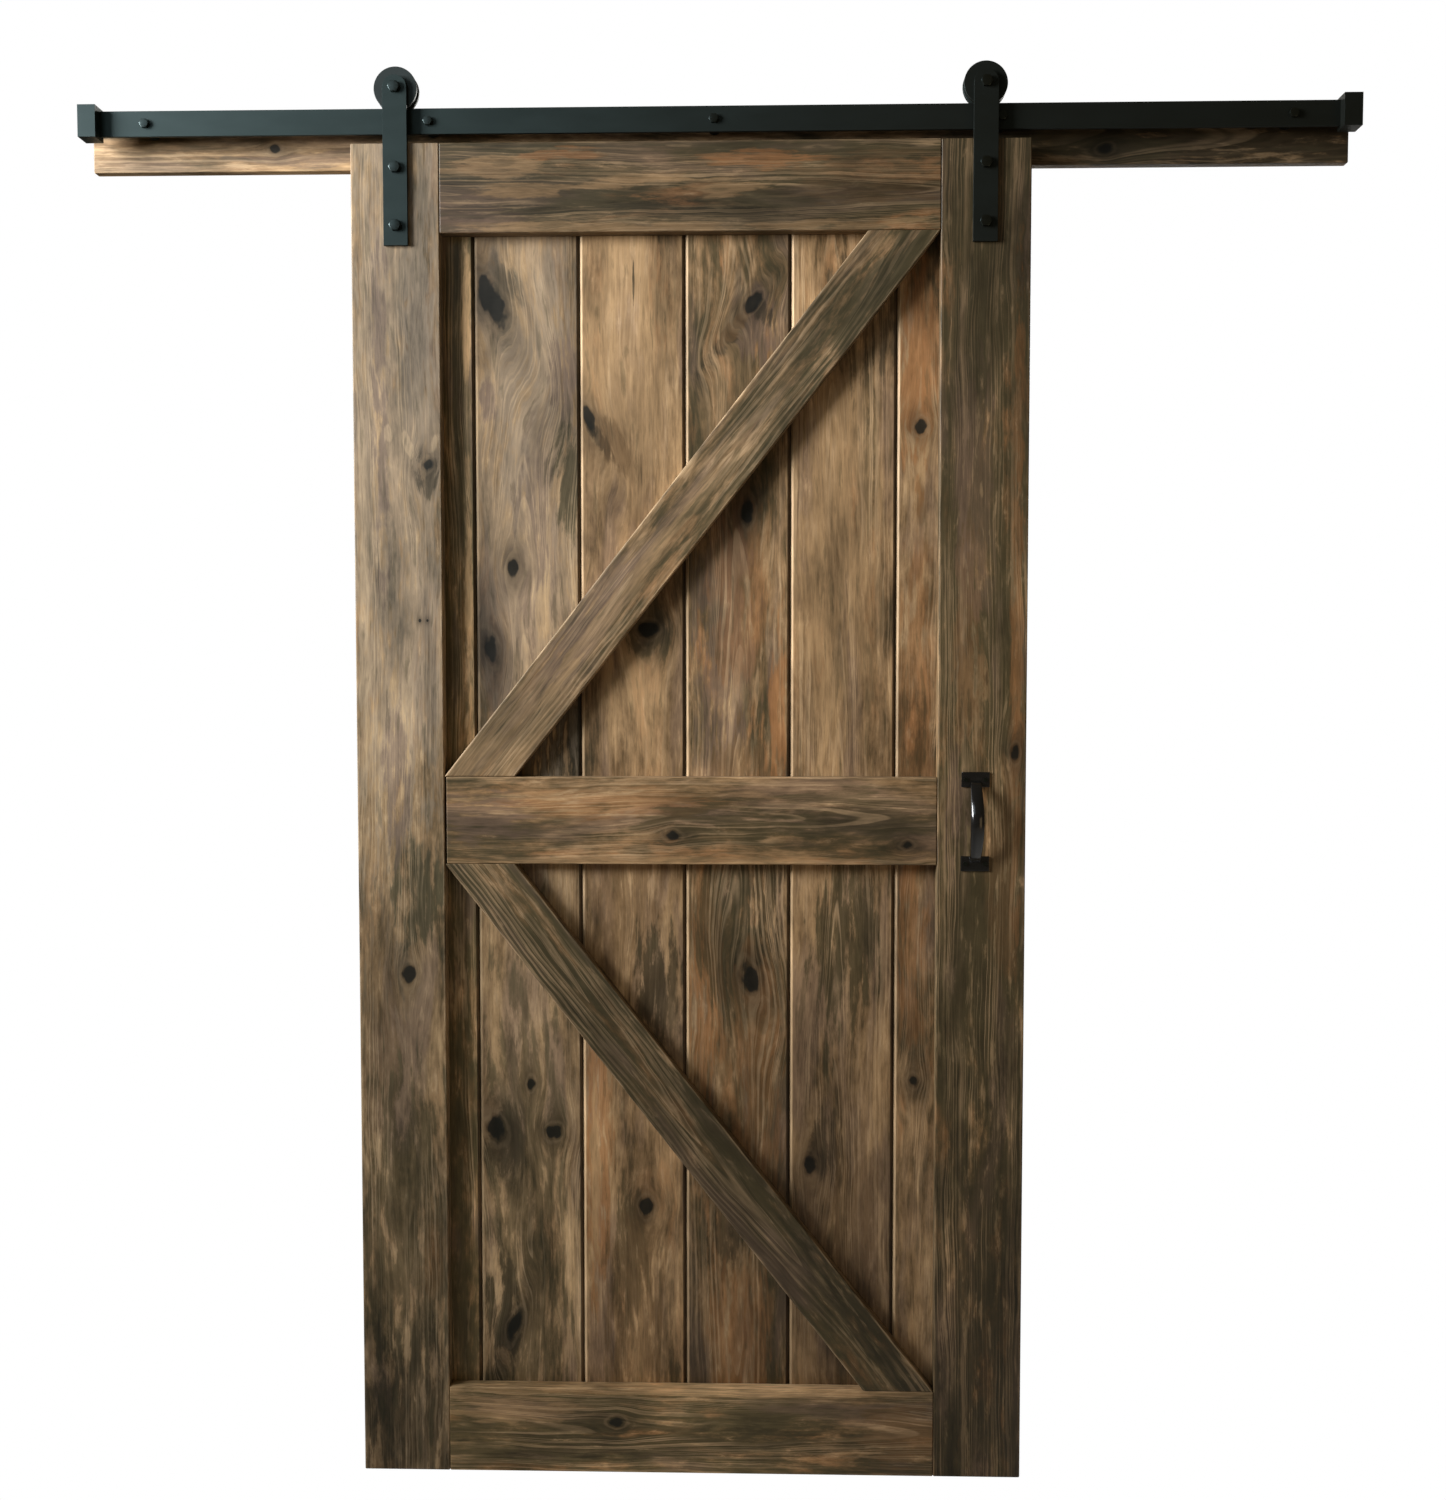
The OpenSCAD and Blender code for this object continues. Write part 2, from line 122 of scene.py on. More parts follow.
class Finish:
    """A material, with one method that adds any node to it."""

    def __init__(self, name):
        self.material = bpy.data.materials.new(name)
        self.material.use_nodes = True
        self.tree = self.material.node_tree
        self.tree.nodes.clear()

    def node(self, kind, settings=None, inputs=None, out=0):
        node = self.tree.nodes.new("ShaderNode" + kind)
        for name, value in (settings or {}).items():
            setattr(node, name, value)
        for name, term in (inputs or {}).items():
            plug(self.tree, node.inputs[name], term)
        return Number(self.tree, node.outputs[out]) if node.outputs else None

    def stretched(self, place, scale, shift=(0, 0, 0)):
        settings, inputs = {"operation": "MULTIPLY_ADD"}, {0: place, 1: scale, 2: shift}
        return self.node("VectorMath", settings, inputs)

    def noise(self, place, detail=2.0, roughness=0.5, out=0):
        inputs = {"Vector": place, "Scale": 1.0, "Detail": detail, "Roughness": roughness}
        return self.node("TexNoise", {}, inputs, out)

    def mixed(self, factor, first, second):
        settings = {"data_type": "RGBA", "clamp_factor": True}
        return self.node("Mix", settings, {0: factor, 6: first, 7: second}, 2)

    def parts(self, vector):
        node = self.tree.nodes.new("ShaderNodeSeparateXYZ")
        plug(self.tree, node.inputs[0], vector)
        return [Number(self.tree, socket) for socket in node.outputs]

    def shine(self, **inputs):
        """The surface's own shader, joined to the material's output."""
        shader = self.node("BsdfPrincipled", {}, {k.replace("_", " "): v for k, v in inputs.items()})
        return self.surface(shader)

    def surface(self, shader):
        self.node("OutputMaterial", {}, {"Surface": shader})
        return self.material


floor_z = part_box("stile_left")[0].z - 14 * MM
bm = bmesh.new()
bmesh.ops.create_grid(bm, x_segments=1, y_segments=1, size=9)
bmesh.ops.translate(bm, verts=bm.verts, vec=(0, 0, floor_z))
floor_mesh = bpy.data.meshes.new("floor")
bm.to_mesh(floor_mesh)
bm.free()
floor = bpy.data.objects.new("floor", floor_mesh)
bpy.context.scene.collection.objects.link(floor)
pale = Finish("pale_floor")
matt = pale.node("BsdfDiffuse", {}, {"Color": (0.8, 0.8, 0.8, 1)})
bright = pale.node("Emission", {}, {"Color": (1, 1, 1, 1), "Strength": 1.0})
seen = pale.node("LightPath", {}, {}, "Is Camera Ray")
pale_shown = pale.node("MixShader", {}, {0: seen, 1: matt, 2: bright})
floor.data.materials.append(pale.surface(pale_shown))

world = bpy.data.worlds.new("white_room")
bpy.context.scene.world = world
world.use_nodes = True
room = world.node_tree
room.nodes.clear()
room_out = room.nodes.new("ShaderNodeOutputWorld")
backdrop = room.nodes.new("ShaderNodeBackground")
backdrop.inputs["Strength"].default_value = 1.0
glow = room.nodes.new("ShaderNodeBackground")
glow.inputs["Color"].default_value = (1.0, 0.81, 0.54, 1)
glow.inputs["Strength"].default_value = 0.085
backdrop.inputs["Color"].default_value = (1, 1, 1, 1)
either = room.nodes.new("ShaderNodeMixShader")
ray = room.nodes.new("ShaderNodeLightPath")
room.links.new(ray.outputs["Is Camera Ray"], either.inputs[0])
room.links.new(glow.outputs[0], either.inputs[1])
room.links.new(backdrop.outputs[0], either.inputs[2])
room.links.new(either.outputs[0], room_out.inputs["Surface"])


def soft_light(name, place, aim, size, power, colour, spread=180):
    light = bpy.data.lights.new(name, "AREA")
    light.shape = "RECTANGLE"
    light.size, light.size_y = size
    light.energy = power
    light.color = colour
    light.spread = math.radians(spread)
    lamp = bpy.data.objects.new(name, light)
    bpy.context.scene.collection.objects.link(lamp)
    lamp.location = place
    lamp.rotation_euler = (Vector(aim) - Vector(place)).to_track_quat("-Z", "Y").to_euler()


soft_light("window", (-3.6, -1.74, 0.55), (-0.35, 0, 0.7), (1.5, 1.8), 128, (0.96, 0.98, 1.0), 88)
soft_light("sky", (-2.2, -3.2, 1.2), (-0.6, 0, -0.3), (2.0, 1.6), 6.5, (0.8, 0.93, 1.0), 120)
soft_light("hall", (1.2, 3.6, 0.4), (0, 0, -0.9), (2.4, 2.0), 45, (1.0, 0.97, 0.92), 120)
soft_light("wall", (2.8, -3.2, -1.3), (0, 0, -1.1), (2.0, 2.0), 9, (1.0, 0.70, 0.38))


# ---------------------------------------------------------------- header board
# A flat pine board, 89 x 19 mm, screwed to the wall by the track's own lag bolts. It wears
# the same dark walnut stain as the leaf, and is made pale at its left end and darker towards its right.
def merged(node):
    """A copy of a CAD node's mesh, with its triangles joined into whole faces."""
    bm = bmesh.new()
    bm.from_mesh(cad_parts[node].data)
    bmesh.ops.remove_doubles(bm, verts=bm.verts, dist=0.01 * MM)
    bmesh.ops.dissolve_limit(bm, angle_limit=math.radians(1), verts=bm.verts, edges=bm.edges)
    return bm


def eased(bm, width, least=0.0, segments=2):
    """Rounds the sharp edges that are at least this long."""
    sharp = [e for e in bm.edges if len(e.link_faces) == 2
             and e.calc_face_angle() > math.radians(50) and e.calc_length() >= least]
    bmesh.ops.bevel(bm, geom=sharp, offset=width, offset_type="OFFSET", affect="EDGES",
                    segments=segments, profile=0.5, material=-1, clamp_overlap=True)


def piece(name, bm, body, material, replaced=(), smooth=40):
    """Makes the finished mesh a piece that rides on a body."""
    mesh = bpy.data.meshes.new(name)
    bm.to_mesh(mesh)
    bm.free()
    for face in mesh.polygons:
        face.use_smooth = True
    mesh.set_sharp_from_angle(angle=math.radians(smooth))
    obj = bpy.data.objects.new(name, mesh)
    bpy.context.scene.collection.objects.link(obj)
    obj.data.materials.append(material)
    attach(obj, body)
    if replaced:
        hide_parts(*replaced)
    flat = obj.modifiers.new("flat_faces", "WEIGHTED_NORMAL")
    flat.keep_sharp = True
    return obj


def lie_of(bm):
    """A board's middle, the turn of its length about Y, half of its width, and its length."""
    longest = max(bm.edges, key=lambda e: e.calc_length())
    way = (longest.verts[1].co - longest.verts[0].co).normalized()
    if way.x < -0.001 or (abs(way.x) <= 0.001 and way.z < 0):
        way = -way
    corners = [v.co for v in bm.verts]
    middle = Vector([(min(c[k] for c in corners) + max(c[k] for c in corners)) / 2 for k in range(3)])
    across = Vector((-way.z, 0, way.x))
    half = max(abs((c - middle).dot(across)) for c in corners)
    length = 2 * max(abs((c - middle).dot(way)) for c in corners)
    return middle, -math.atan2(way.z, way.x), half, length


TONES = {
    "dark": (0.030, 0.025, 0.013, 1),
    "olive": (0.066, 0.055, 0.027, 1),
    "brown": (0.138, 0.086, 0.041, 1),
    "mauve": (0.150, 0.105, 0.078, 1),
    "tan": (0.300, 0.205, 0.110, 1),
    "orange": (0.270, 0.135, 0.055, 1),
    "ash": (0.270, 0.212, 0.150, 1),
    "cream": (0.460, 0.340, 0.210, 1),
    "knot": (0.013, 0.014, 0.009, 1),
}


def stained_pine(name, lie, seed, depth=0.5, warm=0.4, knots=(), stains_and_painted_light=(),
                 pith=(0.0, 60, 0.03), rings=6.5, lines=0.5, edge=0.35, groove=False,
                 run=(1, 1, 1), yellow=1.0):
    """Knotty pine under a dark walnut stain, laid along a board.

    depth is how dark the stain took, and warm how much bare orange shows through it. lines is
    how strongly the latewood shows, and edge how pale the arrises are, which on a grooved board
    is the strength of the painted highlight on the V's lit side. groove is for a board with half a
    V along each side, and paints a highlight on the V's lit side and shade on its shaded side and bottom.
    knots are (along, across, half length, half width, tilt), and stains_and_painted_light are
    (along, across, half length, half width, tone, strength), in millimetres and degrees from the
    board's middle; most are stain, and a few are painted shadow and painted light. A patch may end in a
    tilt too.
    pith is the heart's offset across, its depth and its slope, and rings the ring width.
    run is how light the board is made at its start, middle and end, and yellow under one
    is a yellower board.
    """
    middle, turn, half, length = lie
    f = Finish(name)
    coords = f.node("TexCoord", {}, {}, "Object")
    inputs = {"Vector": coords, "Location": middle, "Rotation": (0, turn, 0)}
    place = f.node("Mapping", {"vector_type": "TEXTURE"}, inputs)
    along, deep, across = f.parts(place)
    shift = (seed * 3.17, seed * 1.31, seed * 2.23)

    # the grain wanders, and bends round each knot
    drift = f.noise(f.stretched(place, (1.3, 7, 7), shift), 2, 0.5)
    ripple = f.noise(f.stretched(place, (7, 34, 34), shift), 2, 0.5)
    bent = across + (drift - 0.5) * 0.05 + (ripple - 0.5) * 0.012
    torn = f.noise(f.stretched(place, (32, 55, 55), shift), 2, 0.5)
    blur = (torn - 0.5) * 2.6
    cores, rinds, halos = [], [], []

    def distance(u, v, half_u, half_v, tilt=0, point=2):
        """Squared distance from a mark's middle, one at its edge."""
        c, s = math.cos(math.radians(tilt)), math.sin(math.radians(tilt))
        du, dv = along - u * MM, across - v * MM
        ahead = abs((du * c + dv * s) / (half_u * MM)) ** point
        return ahead + ((dv * c - du * s) / (half_v * MM)) ** 2

    for u, v, half_u, half_v, tilt in knots:
        far = distance(u, v, half_u, half_v, tilt, 1.5)
        bent = bent - (across - v * MM) * (far * 0.12).bell() * 0.85
        ragged = far + blur
        cores.append(ragged.ramp(1.15, 0.6))
        rinds.append(ragged.ramp(1.2, 1.6) * ragged.ramp(2.6, 1.8))
        halos.append((abs(far * 0.16 + blur * 0.25)).bell())

    # growth rings round a heart that slopes through the board
    heart = deep + pith[1] * MM + along * pith[2]
    reach = ((bent - pith[0] * MM) ** 2 + heart ** 2) ** 0.5
    wobble = f.node("TexNoise", {"noise_dimensions": "1D"}, {"W": reach * 55, "Detail": 1.0})
    turns = reach / (rings * MM) + wobble * 2.2
    saw = turns.sum_of("FRACT", turns)
    late = saw.ramp(0.35, 0.85) * (1 - saw.ramp(0.88, 1.0))

    # stain soaks in unevenly, in streaks along the grain
    flow = f.node("CombineXYZ", {}, {"X": along, "Y": deep, "Z": bent})
    cloud = f.noise(f.stretched(flow, (3.6, 13, 13), shift), 4, 0.6)
    patch = f.noise(f.stretched(flow, (16, 60, 60), shift), 5, 0.68)
    streak = f.noise(f.stretched(flow, (15, 190, 190), shift), 3, 0.65)
    fleck = f.noise(f.stretched(flow, (11, 90, 90), (shift[2], shift[1], shift[0])), 4, 0.6)
    fibre = f.noise(f.stretched(flow, (22, 900, 900), shift), 2, 0.6)
    hue = f.noise(f.stretched(flow, (3.4, 19, 19), (shift[2], shift[0], shift[1])), 3, 0.55)
    soak = cloud * 0.5 + patch * 0.33 + streak * 0.17
    low = 0.33 + 0.17 * depth
    colour = f.mixed(soak.ramp(low, low + 0.16), TONES["olive"], TONES["brown"])
    colour = f.mixed(soak.ramp(low + 0.04, low + 0.28), colour, TONES["tan"])
    colour = f.mixed(hue.ramp(0.5, 0.66) * 0.55, colour, TONES["mauve"])
    colour = f.mixed(hue.ramp(0.47, 0.34) * warm * patch.ramp(0.4, 0.6), colour, TONES["orange"])
    # not all of these patches are stain: a few are painted shadow and painted light
    for u, v, half_u, half_v, tone, strength, *tilt in stains_and_painted_light:
        far = distance(u, v, half_u, half_v, *tilt)
        mask = (far + (patch - 0.5) * 4.5 + (fleck - 0.5) * 6).ramp(1.4, 0.3)
        colour = f.mixed(mask * strength, colour, TONES[tone])

    # pale latewood lines, fine fibres and darker pores
    fade = f.noise(f.stretched(flow, (3, 24, 24), (shift[1], shift[2], shift[0])), 2, 0.5)
    shown = late * fade.ramp(0.38, 0.64) * lines * 0.85
    pale = fleck.ramp(0.56, 0.64) * cloud.ramp(0.35, 0.6)
    colour = f.mixed(shown + patch.ramp(0.6, 0.75) * 0.25 + pale * 0.25, colour, TONES["cream"])
    colour = f.mixed(fleck.ramp(0.43, 0.34) * 0.4, colour, TONES["olive"])
    value = 1 + (streak - 0.5) * 0.8 + (fibre - 0.5) * 0.5 + (patch - 0.5) * 0.8 + (cloud - 0.5) * 2.0
    for core, rind, halo in zip(cores, rinds, halos):
        value = value * (1 - halo * 0.68)
        colour = f.mixed(rind * 0.16, colour, TONES["cream"])
        colour = f.mixed(core * 0.92, colour, TONES["knot"])

    # hands and sanding wear the arrises pale, and end grain drinks more stain
    rim = (half - abs(across)).ramp(5 * MM, 0.5 * MM) * streak.ramp(0.35, 0.65)
    if groove:
        # painted light in the V: a painted highlight on its lit side, and painted shade on its shaded side
        # and at its bottom
        rim = (half - across).ramp(6.5 * MM, 4.5 * MM) * (0.6 + streak * 0.8)
        value = value * (1 - (half + across).ramp(6 * MM, 4 * MM) * 0.7)
        value = value * (1 - (half - abs(across)).ramp(1.3 * MM, 0.5 * MM) * 0.6)
    colour = f.mixed(rim * edge, colour, TONES["cream"])
    facing = f.node("TexCoord", {}, {}, "Normal")
    way = Vector((math.cos(turn), 0, -math.sin(turn)))
    turned_out = f.node("VectorMath", {"operation": "DOT_PRODUCT"}, {0: facing, 1: way}, "Value")
    value = value * (1 - abs(turned_out).ramp(0.6, 0.9) * 0.45)

    # the board is made lighter or darker from one end to the other
    start, mid, finish = run
    share = along / length
    before, after = share.ramp(0, -0.45), share.ramp(0, 0.45)
    value = value * (mid + before * (start - mid) + after * (finish - mid))
    colour = f.node("VectorMath", {"operation": "SCALE"}, {0: colour, "Scale": value})
    colour = f.stretched(colour, (1, (1 + yellow) / 2, yellow))

    relief = shown * 0.5 + fibre * 0.35 + streak * 0.5
    for core in cores:
        relief = relief - core * 0.6
    bump = f.node("Bump", {}, {"Strength": 0.35, "Distance": 0.35 * MM, "Height": relief})
    rough = 0.5 + (patch - 0.5) * 0.3 + (streak - 0.5) * 0.15
    return f.shine(Base_Color=colour, Roughness=rough, Normal=bump, Specular_IOR_Level=0.28)


bm = merged("header_board")
header_lie = lie_of(bm)
eased(bm, 1.5 * MM, 15 * MM)
header_pine = stained_pine(
    "header_pine", header_lie, 1.0, depth=0.3, warm=0.25, rings=7, run=(1.15, 0.62, 0.36), yellow=0.92,
    knots=[(-705, -8, 9, 7, 0), (620, -20, 12, 8, 10)],
    stains_and_painted_light=[(-850, -20, 230, 30, "brown", 0.4), (-640, -25, 120, 12, "mauve", 0.5),
            (900, 0, 420, 60, "dark", 0.85), (560, 0, 160, 60, "olive", 0.8)])
piece("header_plank", bm, "track", header_pine, ["header_board"])


# ---------------------------------------------------------------- track, spacers and stops
# A flat steel bar, 40 x 6 mm, carries the leaf on its upper edge. Five round spacers hold it
# 35 mm off the header board, and a steel block clamped on each end stops the wheels.
def black_coat(name, colour, rough, grain=1.0, worn=0.4, sheen=0.36):
    """Satin black powder coat: a fine orange peel and faint dust. Its colour turns darker and browner
    towards +X, a painted shade away from the window, so it stays lighter and bluer at the left, where the
    window light falls.
    """
    f = Finish(name)
    place = f.node("TexCoord", {}, {}, "Object")
    peel = f.noise(f.stretched(place, (900, 900, 900)), 2, 0.6)
    dust = f.noise(f.stretched(place, (9, 30, 30)), 4, 0.6)
    scuff = f.noise(f.stretched(place, (150, 150, 400)), 3, 0.7)
    tint = dust.ramp(0.35, 0.7)
    pale = tuple(c * 1.9 + 0.004 for c in colour[:3]) + (1,)
    # painted shade: the coat darkens to brown towards +X, away from the window light
    painted_shade_east = f.parts(place)[0].ramp(-1.1, 0.4)
    shade = f.mixed(tint * worn, colour, pale)
    shade = f.mixed(painted_shade_east, shade, (0.0030, 0.0025, 0.0012, 1))
    shade = f.mixed(scuff.ramp(0.68, 0.8) * worn * 0.6, shade, (0.12, 0.12, 0.115, 1))
    roughness = rough + (dust - 0.5) * 0.14 + (scuff - 0.5) * 0.08
    bump = f.node("Bump", {}, {"Strength": 0.12 * grain, "Distance": 0.12 * MM, "Height": peel})
    return f.shine(Base_Color=shade, Roughness=roughness, Normal=bump,
                   Specular_IOR_Level=sheen, Specular_Tint=(0.72, 0.95, 0.95, 1))


# the track's coat is painted blue-green, the window light's tint at its left end, and the painted shade
# takes over towards +X
iron = black_coat("powder_black", (0.0058, 0.0120, 0.0120, 1), 0.5, worn=0.25)
bm = merged("track_rail")
eased(bm, 0.7 * MM, 3 * MM)
piece("flat_track", bm, "track", iron, ["track_rail"])
for k in range(1, 6):
    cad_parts[f"track_spacer_{k}"].data.materials.clear()
    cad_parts[f"track_spacer_{k}"].data.materials.append(iron)
for side in ("left", "right"):
    bm = merged(f"end_stop_{side}")
    eased(bm, 1.4 * MM, 5 * MM, 3)
    piece(f"stop_block_{side}", bm, "track", iron, [f"end_stop_{side}"])


# ---------------------------------------------------------------- bolts
# Plain hex bolts, blackened. Lag bolts go through the bar, spacers and header board into the
# wall's studs, and a short machine bolt clamps each stop. A nut or head is a turned and
# chamfered disc, planed to six flats.
def turned(points, axis="Y", segments=48):
    """A closed solid of revolution about the axis, from (radius, distance along it)."""
    bm = bmesh.new()
    verts = [bm.verts.new((r, 0, d)) for r, d in points]
    edges = [bm.edges.new(pair) for pair in zip(verts, verts[1:])]
    bmesh.ops.spin(bm, geom=verts + edges, cent=(0, 0, 0), axis=(0, 0, 1), angle=2 * math.pi,
                   steps=segments, use_merge=True, use_duplicate=False)
    bmesh.ops.remove_doubles(bm, verts=bm.verts, dist=0.001 * MM)
    bmesh.ops.recalc_face_normals(bm, faces=bm.faces)
    if axis == "Y":
        bmesh.ops.rotate(bm, verts=bm.verts, cent=(0, 0, 0), matrix=Matrix.Rotation(math.pi / 2, 3, "X"))
    return bm


def six_flats(bm, flats, axis="Y"):
    """Planes six flats on a turned blank, this far apart across the axis."""
    for k in range(6):
        angle = math.pi / 6 + k * math.pi / 3
        out = Vector((math.cos(angle), 0, math.sin(angle)))
        if axis == "Z":
            out = Vector((math.cos(angle), math.sin(angle), 0))
        geom = bm.verts[:] + bm.edges[:] + bm.faces[:]
        cut = bmesh.ops.bisect_plane(bm, geom=geom, plane_co=out * flats / 2, plane_no=out,
                                     clear_outer=True, dist=0.0001 * MM)
        rim = [e for e in cut["geom_cut"] if isinstance(e, bmesh.types.BMEdge)]
        bmesh.ops.holes_fill(bm, edges=rim, sides=0)


def joined(*parts):
    """One bmesh from several, which are freed."""
    whole = bmesh.new()
    for part in parts:
        mesh = bpy.data.meshes.new("part")
        part.to_mesh(mesh)
        part.free()
        whole.from_mesh(mesh)
        bpy.data.meshes.remove(mesh)
    return whole


def moved(bm, place):
    bmesh.ops.translate(bm, verts=bm.verts, vec=place)
    return bm


def hex_head(flats, height, axis="Y"):
    """A head that stands on its seat at nothing and rises towards the viewer."""
    corner, crown = flats / math.sqrt(3), flats * 0.47
    chamfer = (corner - crown) * 0.55
    washer = flats * 0.46
    bm = turned([(0, 0), (washer, 0), (washer, 0.3 * MM), (corner, 0.3 * MM),
                 (corner, height - chamfer), (crown, height), (0, height)], axis)
    six_flats(bm, flats, axis)
    return bm


def middle_of(node):
    low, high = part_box(node)
    return (low + high) / 2


bolt_black = black_coat("bolt_black", (0.006, 0.009, 0.009, 1), 0.3, grain=0.5, worn=0.5, sheen=0.5)
track_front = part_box("track_rail")[0].y
lag_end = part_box("lag_bolt_3")[1].y
LAG_FLATS, LAG_HEAD, LAG_SHANK, LAG_CORE = 13 * MM, 5.5 * MM, 3.98 * MM, 2.9 * MM
LAG_PITCH, LAG_TIP = 3 * MM, 7 * MM
for k in range(1, 6):
    head = hex_head(LAG_FLATS, LAG_HEAD)
    moved(head, (0, track_front, 0))
    thread_end = lag_end - LAG_TIP
    # depths run backwards, from the bar's face into the wall
    shank = turned([(0, -lag_end), (0.5 * MM, -lag_end), (LAG_CORE, -thread_end), (LAG_CORE, -2 * MM),
                    (LAG_SHANK, 0), (LAG_SHANK, -track_front), (0, -track_front)])
    ridge = bmesh.new()
    low = ridge.verts.new((LAG_CORE - 0.1 * MM, 0, 0))
    peak = ridge.verts.new((LAG_SHANK, 0, 0.8 * MM))
    high = ridge.verts.new((LAG_CORE - 0.1 * MM, 0, 1.6 * MM))
    loop = [ridge.edges.new((low, peak)), ridge.edges.new((peak, high)), ridge.edges.new((high, low))]
    coils, steps = 12, 24
    ridge.faces.new((low, peak, high))
    bmesh.ops.spin(ridge, geom=[low, peak, high] + loop, cent=(0, 0, 0), axis=(0, 0, 1),
                   angle=2 * math.pi * coils, steps=steps * coils,
                   dvec=(0, 0, LAG_PITCH / steps), use_merge=False, use_duplicate=False)
    bmesh.ops.holes_fill(ridge, edges=ridge.edges, sides=3)
    bmesh.ops.recalc_face_normals(ridge, faces=ridge.faces)
    bmesh.ops.rotate(ridge, verts=ridge.verts, cent=(0, 0, 0), matrix=Matrix.Rotation(math.pi / 2, 3, "X"))
    moved(ridge, (0, thread_end, 0))
    bolt = moved(joined(head, shank, ridge), (middle_of(f"lag_bolt_{k}").x, 0, 0))
    piece(f"lag_screw_{k}", bolt, "track", bolt_black, [f"lag_bolt_{k}"], 30)

for side in ("left", "right"):
    low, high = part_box(f"stop_bolt_{side}")
    centre = middle_of(f"stop_bolt_{side}")
    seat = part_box(f"end_stop_{side}")[1].z
    head = moved(hex_head(13 * MM, high.z - seat, "Z"), (0, 0, seat))
    reach = seat - low.z
    shank = turned([(0, 0), (3.5 * MM, 0), (4 * MM, 0.5 * MM), (4 * MM, reach), (0, reach)], "Z")
    moved(shank, (0, 0, low.z))
    bolt = moved(joined(head, shank), (centre.x, centre.y, 0))
    piece(f"clamp_bolt_{side}", bolt, "track", bolt_black, [f"stop_bolt_{side}"], 30)


# ---------------------------------------------------------------- planks
# Six tongue-and-groove pine planks, 19 mm thick, stand upright behind the frame with a V at
# every joint. Each came from another tree, so each takes the stain in its own way.
leaf_low, leaf_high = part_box("plank_1")[0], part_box("plank_6")[1]
leaf_middle = (leaf_low.x + leaf_high.x) / 2
leaf_top = leaf_high.z


def on_board(lie, marks):
    """Marks given by (side of the leaf's middle line, drop from its top) in the board's own lie."""
    middle, turn, half, length = lie
    found = []
    for x, drop, *rest in marks:
        flat = Vector((leaf_middle + x * MM - middle.x, 0, leaf_top - drop * MM - middle.z))
        flat.rotate(Euler((0, -turn, 0)))
        found.append((flat.x / MM, flat.z / MM, *rest))
    return found


def coat(node, material):
    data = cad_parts[node].data
    data.materials.clear()
    data.materials.append(material)


